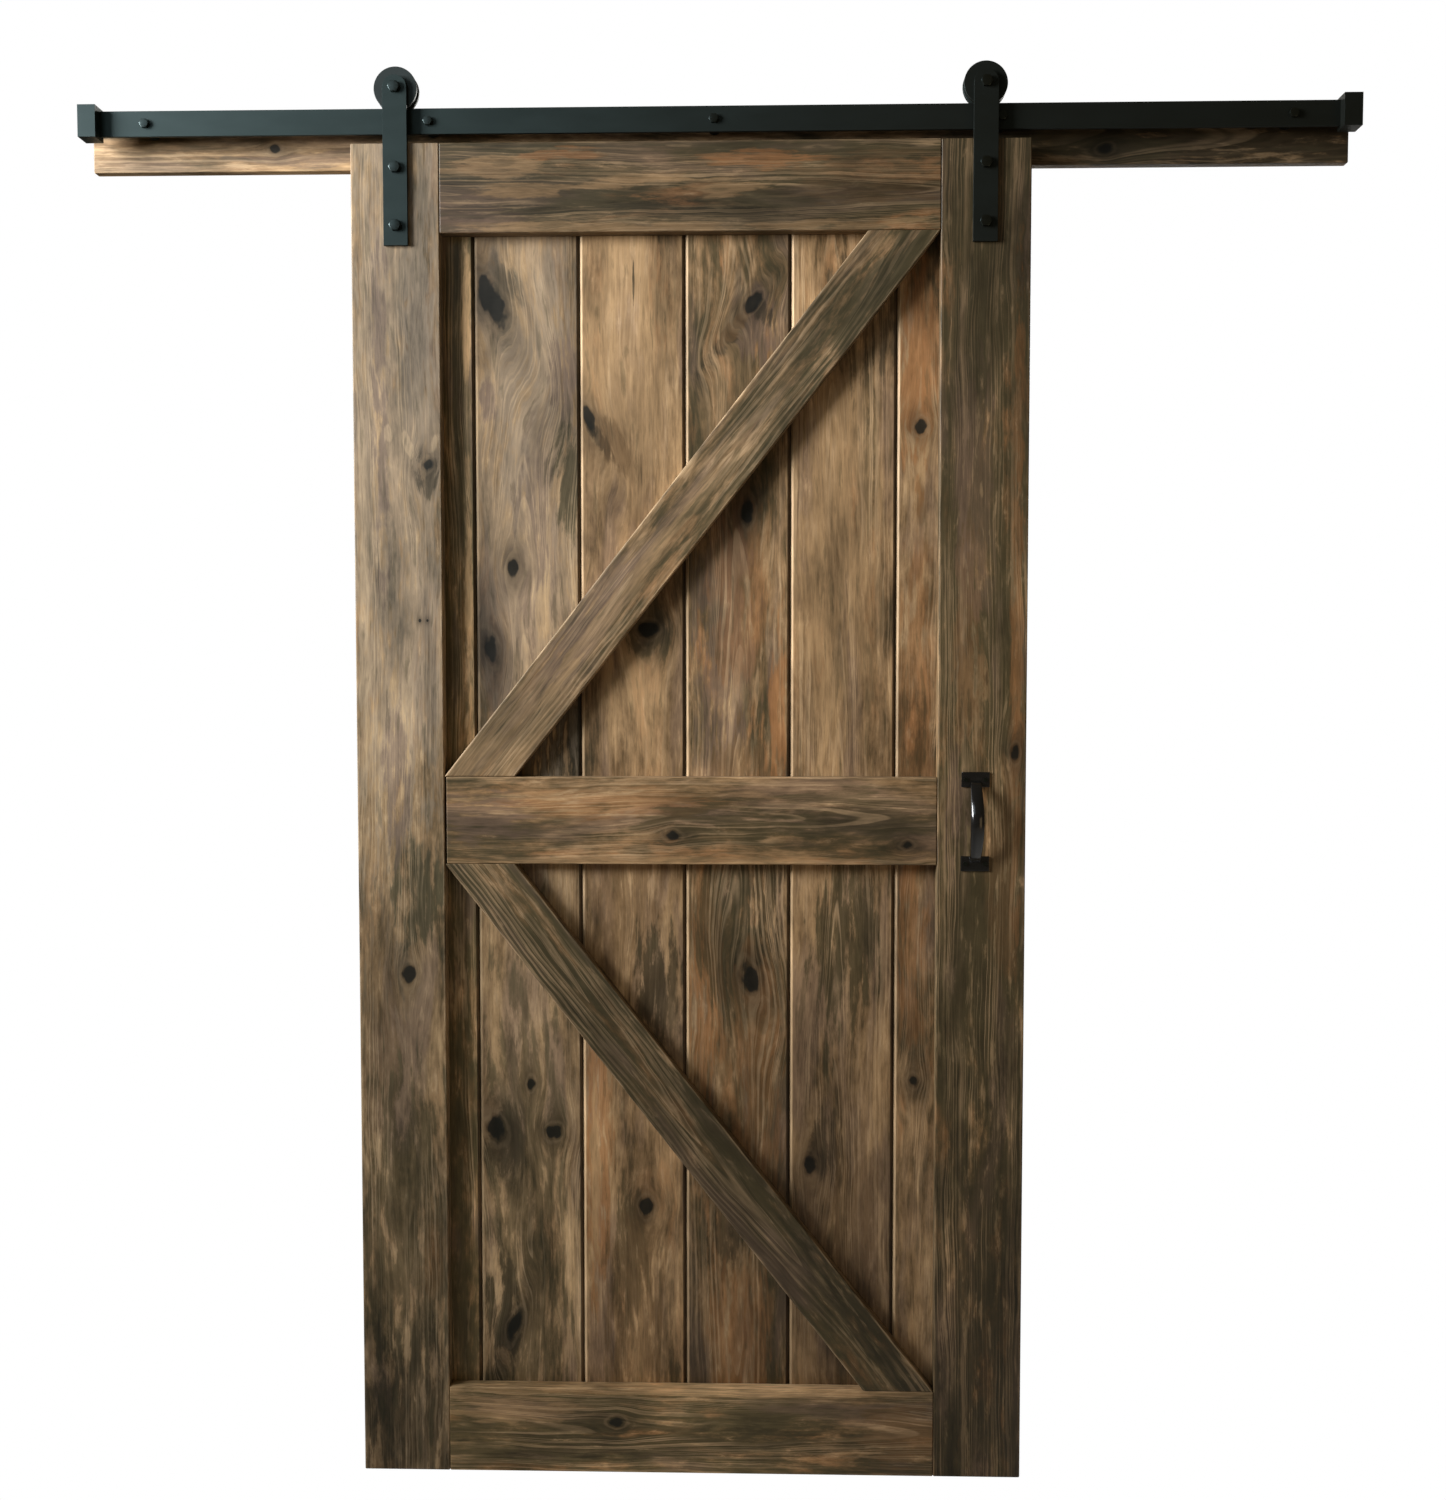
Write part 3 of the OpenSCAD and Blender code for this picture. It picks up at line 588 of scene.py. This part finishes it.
planks = {
    # plank 1 lies in the left stile's shadow: its run of about 2 paints it twice as light, a painted fill
    # light, and its two tan streaks by the V are painted light where the window reaches past that shadow
    1: dict(depth=0.8, warm=0.1, pith=(30, 70, 0.02), rings=6, run=(2.1, 2.1, 2.0), yellow=0.85,
            knots=[], stains_and_painted_light=[(-357, 245, 95, 8, "tan", 0.8), (-357, 700, 190, 6, "tan", 0.6)]),
    2: dict(depth=0.15, warm=0.1, pith=(10, 30, 0.035), rings=8, run=(1.35, 1.05, 0.88), yellow=0.94,
            knots=[(-316, 238, 44, 18, 28), (-284, 664, 14, 10, 0), (-322, 788, 24, 12, 15),
                   (-318, 1574, 22, 15, 20), (-224, 1580, 12, 13, -20), (-260, 1500, 10, 7, 0),
                   (-290, 1902, 24, 10, -20)],
            edge=0.3,
            stains_and_painted_light=[(-292, 205, 44, 22, "dark", 0.7, 30), (-303, 345, 26, 9, "tan", 0.8, 20),
                    # a painted shadow under the upper brace
                    (-215, 960, 110, 70, "dark", 0.9),
                    (-260, 500, 600, 90, "ash", 0.45), (-225, 300, 120, 30, "ash", 0.5),
                    (-275, 430, 170, 30, "ash", 0.6),
                    (-203, 355, 60, 22, "mauve", 0.7), (-193, 535, 75, 26, "olive", 0.85),
                    (-322, 400, 36, 12, "mauve", 0.8), (-290, 230, 60, 24, "olive", 0.4),
                    (-250, 620, 160, 30, "mauve", 0.5), (-270, 1800, 500, 60, "olive", 0.55),
                    (-310, 1890, 110, 30, "dark", 0.7), (-300, 1600, 60, 30, "dark", 0.5)]),
    3: dict(depth=0.0, warm=0.35, pith=(-60, 90, 0.01), rings=5, lines=0.25, run=(1.4, 1.15, 1.0),
            yellow=0.85, knots=[(-161, 428, 26, 9, 20), (-68, 762, 12, 15, 0), (-72, 1700, 14, 12, 0)],
            stains_and_painted_light=[(-100, 300, 260, 60, "tan", 0.7), (-90, 216, 80, 1.5, "dark", 0.9),
                    (-142, 462, 44, 9, "dark", 0.8, 32), (-120, 470, 46, 26, "brown", 0.7, 20),
                    (-66, 760, 50, 34, "olive", 0.7), (-100, 1200, 200, 60, "brown", 0.5),
                    (-52, 1350, 100, 40, "dark", 0.75), (-150, 1620, 240, 20, "orange", 0.7),
                    (-155, 1640, 160, 8, "tan", 0.8), (-100, 1780, 140, 26, "olive", 0.7),
                    (-90, 1900, 200, 50, "brown", 0.6)]),
    4: dict(depth=0.55, warm=0.6, pith=(0, 25, 0.04), rings=7, run=(0.8, 1.2, 0.95), yellow=0.85,
            knots=[(100, 245, 20, 9, -40), (92, 572, 20, 10, 0),
                   (96, 1325, 26, 14, 20)],
            stains_and_painted_light=[(60, 420, 150, 40, "tan", 0.4), (110, 270, 60, 34, "mauve", 0.7),
                    (38, 325, 50, 13, "dark", 0.8, -40), (70, 285, 50, 10, "brown", 0.9, -40),
                    (118, 262, 34, 14, "dark", 0.7, 40),
                    (55, 780, 240, 46, "mauve", 0.6), (25, 1330, 160, 30, "orange", 0.7),
                    (115, 1190, 130, 40, "dark", 0.7),
                    (80, 700, 150, 45, "orange", 0.4), (85, 990, 45, 50, "brown", 0.7),
                    (140, 900, 160, 14, "orange", 0.8), (60, 1250, 120, 50, "olive", 0.7),
                    (110, 1500, 200, 40, "orange", 0.4),
                    (60, 1740, 80, 30, "dark", 0.6), (80, 1920, 120, 50, "orange", 0.5)]),
    5: dict(depth=0.0, warm=0.4, pith=(10, 35, 0.03), rings=7.5, lines=0.7, run=(0.6, 1.1, 1.1),
            yellow=0.82,
            knots=[(196, 1632, 16, 12, 0)],
            stains_and_painted_light=[(285, 480, 170, 14, "olive", 0.7), (235, 600, 300, 60, "tan", 0.8),
                    (270, 260, 110, 60, "dark", 0.6), (250, 1250, 180, 50, "olive", 0.8),
                    (220, 1600, 60, 30, "dark", 0.6), (270, 1800, 260, 40, "brown", 0.5)]),
    6: dict(depth=0.2, warm=0.9, pith=(-50, 70, 0.02), rings=5, run=(0.95, 1.2, 1.0), yellow=0.85,
            knots=[(366, 440, 11, 10, 0), (360, 1490, 10, 9, 0)],
            stains_and_painted_light=[(357, 340, 160, 30, "orange", 0.75), (360, 900, 260, 30, "orange", 0.4),
                    (355, 1250, 160, 26, "orange", 0.6)]),
}
TONGUE = 7 * MM
for k, look in planks.items():
    bm = merged(f"plank_{k}")
    middle, turn, half, length = lie_of(bm)
    bm.free()
    hidden = TONGUE if k < len(planks) else 0
    lie = middle - Vector((hidden / 2, 0, 0)), turn, half - hidden / 2, length
    look = dict(look, knots=on_board(lie, look["knots"]), stains_and_painted_light=on_board(lie, look["stains_and_painted_light"]))
    look.setdefault("edge", 0.8)
    coat(f"plank_{k}", stained_pine(f"plank_pine_{k}", lie, 10 + k * 1.7, groove=True, **look))


# ---------------------------------------------------------------- frame boards
# Two stiles, three rails and two diagonal braces, all 25 mm pine, lie on the face of the
# planks. Their arrises were rounded with sandpaper before staining.
boards = {
    "stile_left": dict(depth=0.15, warm=0.2, pith=(-120, 40, 0.012), rings=6, run=(1.0, 1.2, 0.85),
        knots=[(-416, 502, 12, 9, -20), (-455, 1315, 16, 12, 0),
               (-430, 748, 2.5, 2, 0), (-418, 748, 2.5, 2, 0)],
        stains_and_painted_light=[(-465, 500, 700, 90, "ash", 0.55), (-490, 400, 280, 14, "mauve", 0.7),
                (-420, 515, 36, 18, "dark", 0.7), (-446, 470, 20, 6, "cream", 0.6, 20),
                (-404, 468, 16, 5, "cream", 0.6, -20), (-478, 452, 14, 7, "cream", 0.5),
                (-520, 700, 500, 8, "cream", 0.3), (-430, 280, 160, 26, "ash", 0.5),
                (-440, 1180, 90, 40, "olive", 0.9), (-470, 1000, 120, 20, "mauve", 0.7),
                (-500, 1450, 250, 30, "brown", 0.5), (-420, 1780, 60, 16, "orange", 0.7),
                (-465, 1750, 260, 80, "olive", 0.6), (-460, 2060, 160, 90, "dark", 0.6)]),
    "stile_right": dict(depth=1.1, warm=0.4, pith=(150, 50, 0.012), rings=6.5, run=(0.72, 1.15, 0.55),
        yellow=0.78, knots=[(516, 958, 14, 7, 0)],
        stains_and_painted_light=[(470, 200, 260, 60, "olive", 0.8), (504, 990, 26, 13, "tan", 0.8),
                (445, 880, 90, 26, "tan", 0.6), (440, 800, 160, 22, "brown", 0.8),
                (428, 1080, 110, 26, "mauve", 0.8), (500, 1150, 160, 30, "brown", 0.7),
                (518, 800, 500, 10, "orange", 0.5),
                (450, 560, 200, 30, "mauve", 0.4), (440, 1300, 260, 30, "olive", 0.8),
                (480, 1250, 300, 90, "dark", 0.4), (480, 1850, 340, 90, "dark", 0.55)]),
    "rail_top": dict(depth=1.1, warm=0.6, pith=(-10, 28, 0.03), rings=8, run=(0.62, 0.52, 0.68),
        yellow=0.8, knots=[],
        stains_and_painted_light=[(-300, 40, 80, 18, "tan", 0.9), (-275, 75, 60, 12, "tan", 0.9),
                (-360, 110, 90, 24, "mauve", 0.8),
                (-200, 20, 60, 10, "orange", 0.7), (-90, 62, 110, 9, "tan", 0.9, 4),
                (120, 30, 90, 14, "orange", 0.8),
                (60, 75, 60, 16, "tan", 0.8), (-300, 105, 120, 14, "dark", 0.6),
                (0, 108, 140, 14, "dark", 0.6), (0, 132, 420, 9, "tan", 0.7),
                (280, 60, 110, 40, "brown", 0.5)]),
    "rail_middle": dict(depth=0.55, warm=0.5, pith=(5, 35, 0.025), rings=7.5, run=(1.2, 1.1, 0.95),
        yellow=0.82,
        knots=[(-28, 1090, 12, 8, 0), (345, 1105, 9, 7, 0)],
        stains_and_painted_light=[(-330, 1060, 80, 40, "mauve", 0.6), (-120, 1040, 160, 24, "orange", 0.4),
                (60, 1075, 160, 30, "olive", 0.7), (260, 1060, 140, 40, "olive", 0.5),
                (0, 1132, 420, 8, "tan", 0.5)]),
    "rail_bottom": dict(depth=0.75, warm=0.45, pith=(0, 40, 0.03), rings=8, run=(2.2, 2.4, 1.0),
        yellow=0.82,
        knots=[(-120, 2050, 12, 9, 0)],
        stains_and_painted_light=[(-300, 2032, 120, 24, "tan", 0.5), (0, 2085, 330, 30, "dark", 0.6),
                (350, 2060, 60, 50, "brown", 0.8),
                (0, 1998, 420, 8, "tan", 0.5)]),
    "brace_upper": dict(depth=0.45, warm=0.3, pith=(0, 22, 0.035), rings=7, run=(1.0, 1.12, 0.72),
        yellow=0.9, edge=0.7,
        knots=[], stains_and_painted_light=[(-190, 790, 200, 24, "mauve", 0.7, 0), (-210, 848, 60, 8, "tan", 0.8),
                          (-300, 930, 130, 60, "tan", 0.5), (-70, 660, 260, 12, "tan", 0.6),
                          (120, 480, 200, 40, "olive", 0.5), (310, 250, 200, 60, "olive", 0.9)]),
    "brace_lower": dict(depth=1.0, warm=0.3, pith=(5, 25, 0.03), rings=7, run=(1.0, 0.72, 0.9),
        yellow=0.85, edge=0.7,
        knots=[], stains_and_painted_light=[(60, 1550, 260, 40, "olive", 0.7), (330, 1900, 200, 60, "dark", 0.6)]),
}
for number, (node, look) in enumerate(boards.items()):
    bm = merged(node)
    lie = lie_of(bm)
    eased(bm, 2.2 * MM, 18 * MM, 3)
    look = dict(look, knots=on_board(lie, look["knots"]), stains_and_painted_light=on_board(lie, look["stains_and_painted_light"]))
    pine = stained_pine(f"{node}_pine", lie, 30 + number * 2.9, **look)
    piece(f"{node}_board", bm, "door", pine, [node])


# ---------------------------------------------------------------- frame screws
# Forty-two zinc-plated wood screws are driven from the back through the planks into the
# frame boards. Their heads are countersunk flush and have a star recess.
def zinc_plate(name, colour=(0.42, 0.43, 0.43, 1), rough=0.36):
    """Bright zinc plate with faint blotches and drawn lines."""
    f = Finish(name)
    place = f.node("TexCoord", {}, {}, "Object")
    cloud = f.noise(f.stretched(place, (220, 220, 220)), 3, 0.6)
    drawn = f.noise(f.stretched(place, (900, 2500, 900)), 2, 0.5)
    dull = tuple(c * 0.62 for c in colour[:3]) + (1,)
    shade = f.mixed(cloud.ramp(0.35, 0.7), colour, dull)
    bump = f.node("Bump", {}, {"Strength": 0.1, "Distance": 0.05 * MM, "Height": drawn})
    return f.shine(Base_Color=shade, Metallic=1.0, Roughness=rough + (cloud - 0.5) * 0.3, Normal=bump)


zinc = zinc_plate("zinc_plate")
for node in ("frame_screws", "hanger_washers", "hanger_nuts", "axle_nut_left", "axle_nut_right",
             "axle_bushes_left", "axle_bushes_right"):
    coat(node, zinc)


# ---------------------------------------------------------------- hangers
# A strap of 38 x 6 mm steel, rounded at its top, bolts through each stile and reaches over
# the bar to its wheel. Two M10 bolts hold it, with washers and nuts behind the leaf.
M10_FLATS, M10_HEAD, M10_SHANK = 16 * MM, 6.4 * MM, 4.95 * MM


def m10_bolt(name, nodes_box, places, replaced):
    bolts = []
    low, high = nodes_box
    for x, z in places:
        seat = low.y + M10_HEAD
        head = moved(hex_head(M10_FLATS, M10_HEAD), (0, seat, 0))
        shank = turned([(0, -high.y), (M10_SHANK - 0.7 * MM, -high.y), (M10_SHANK, -high.y + 0.7 * MM),
                        (M10_SHANK, -seat), (0, -seat)])
        bolts.append(moved(joined(head, shank), (x, 0, z)))
    return piece(name, joined(*bolts), "door", bolt_black, [replaced], 30)


for side in ("left", "right"):
    bm = merged(f"hanger_{side}")
    eased(bm, 0.8 * MM)
    piece(f"strap_{side}", bm, "door", iron, [f"hanger_{side}"])
    low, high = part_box(f"hanger_bolts_{side}")
    x = (low.x + high.x) / 2
    heads = (low.z + M10_FLATS / 2, high.z - M10_FLATS / 2)
    m10_bolt(f"strap_bolts_{side}", (low, high), [(x, z) for z in heads], f"hanger_bolts_{side}")
    low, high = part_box(f"axle_bolt_{side}")
    m10_bolt(f"axle_{side}", (low, high), [(x, (low.z + high.z) / 2)], f"axle_bolt_{side}")


# ---------------------------------------------------------------- wheels and bearings
# A black grooved wheel on each strap straddles the bar. It runs on a sealed ball bearing,
# whose balls sit in a brass cage between two ground steel rings.
wheel_black = black_coat("wheel_black", (0.010, 0.011, 0.011, 1), 0.5, grain=0.6)
seal_black = black_coat("seal_black", (0.012, 0.012, 0.012, 1), 0.6, grain=0.4, worn=0.1)
ground_steel = zinc_plate("ground_steel", (0.55, 0.55, 0.54, 1), 0.2)
cage_brass = zinc_plate("cage_brass", (0.62, 0.44, 0.16, 1), 0.32)
for side in ("left", "right"):
    bm = merged(f"wheel_{side}")
    eased(bm, 0.6 * MM)
    piece(f"roller_{side}", bm, f"wheel_{side}", wheel_black, [f"wheel_{side}"], 35)
    coat(f"bearing_inner_{side}", ground_steel)
    coat(f"bearing_outer_{side}", ground_steel)
    coat(f"bearing_balls_{side}", ground_steel)
    coat(f"bearing_cage_{side}", cage_brass)
    coat(f"bearing_seals_{side}", seal_black)


# ---------------------------------------------------------------- handle
# A cast pull in gloss black: a bar, thickest at its middle, bows out from two flat
# rectangular plates. Four pan-head screws hold the plates to the right stile.
def gloss_black(name):
    """Gloss black lacquer over a casting, with a slow swell in its surface."""
    f = Finish(name)
    place = f.node("TexCoord", {}, {}, "Object")
    swell = f.noise(f.stretched(place, (90, 90, 90)), 2, 0.5)
    smear = f.noise(f.stretched(place, (40, 40, 160)), 4, 0.6)
    shade = f.mixed(smear.ramp(0.5, 0.8) * 0.5, (0.006, 0.006, 0.006, 1), (0.018, 0.017, 0.016, 1))
    bump = f.node("Bump", {}, {"Strength": 0.25, "Distance": 0.3 * MM, "Height": swell})
    return f.shine(Base_Color=shade, Roughness=0.16 + (smear - 0.5) * 0.16, Normal=bump,
                   Coat_Weight=0.6, Coat_Roughness=0.06)


lacquer = gloss_black("gloss_lacquer")
low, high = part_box("handle")
grip_x = (low.x + high.x) / 2
grip_z = (low.z + high.z) / 2
face_y = high.y
PLATE_T, PLATE_H, NECK_W, NECK_T, GRIP_W, GRIP_T = (s * MM for s in (3, 24, 15, 11, 22, 14))
reach = face_y - low.y
drop = (high.z - low.z - PLATE_H) / 2

grip = bmesh.new()
STATIONS = 32
ring = bmesh.ops.create_circle(grip, cap_ends=True, segments=28, radius=1)["verts"]
ring_edges = [e for e in grip.edges]
previous = Matrix.Identity(4)
for step in range(STATIONS + 1):
    t = -1 + 2 * step / STATIONS
    bow = math.cos(t * math.pi / 2)
    swell = math.cos(t * math.pi / 2) ** 0.8 if abs(t) < 1 else 0.0
    wide = (NECK_W + (GRIP_W - NECK_W) * swell) / 2
    thick = (NECK_T + (GRIP_T - NECK_T) * swell) / 2
    out = face_y - PLATE_T * 0.5 - (reach - PLATE_T * 0.5 - GRIP_T / 2) * bow ** 0.75
    lean = math.atan2((reach - GRIP_T / 2) * math.pi / 2 * math.sin(t * math.pi / 2) * 0.8, drop)
    lean = max(-1.25, min(1.25, lean))
    place = (Matrix.Translation((grip_x, out, grip_z + t * (drop - 1 * MM)))
             @ Matrix.Rotation(lean, 4, "X") @ Matrix.Diagonal((wide, thick, 1, 1)))
    if step:
        grown = bmesh.ops.extrude_edge_only(grip, edges=ring_edges)["geom"]
        ring = [v for v in grown if isinstance(v, bmesh.types.BMVert)]
        ring_edges = [e for e in grown if isinstance(e, bmesh.types.BMEdge)]
    bmesh.ops.transform(grip, matrix=place @ previous.inverted(), verts=ring)
    previous = place
bmesh.ops.holes_fill(grip, edges=ring_edges, sides=0)
bmesh.ops.recalc_face_normals(grip, faces=grip.faces)

plates = []
for end in (-1, 1):
    plate = bmesh.new()
    bmesh.ops.create_cube(plate, size=1)
    bmesh.ops.scale(plate, verts=plate.verts, vec=(high.x - low.x, PLATE_T, PLATE_H))
    eased(plate, 0.9 * MM, 0, 3)
    plates.append(moved(plate, (grip_x, face_y - PLATE_T / 2, grip_z + end * drop)))
piece("pull_handle", joined(grip, *plates), "door", lacquer, ["handle"], 45)
coat("handle_screws", bolt_black)
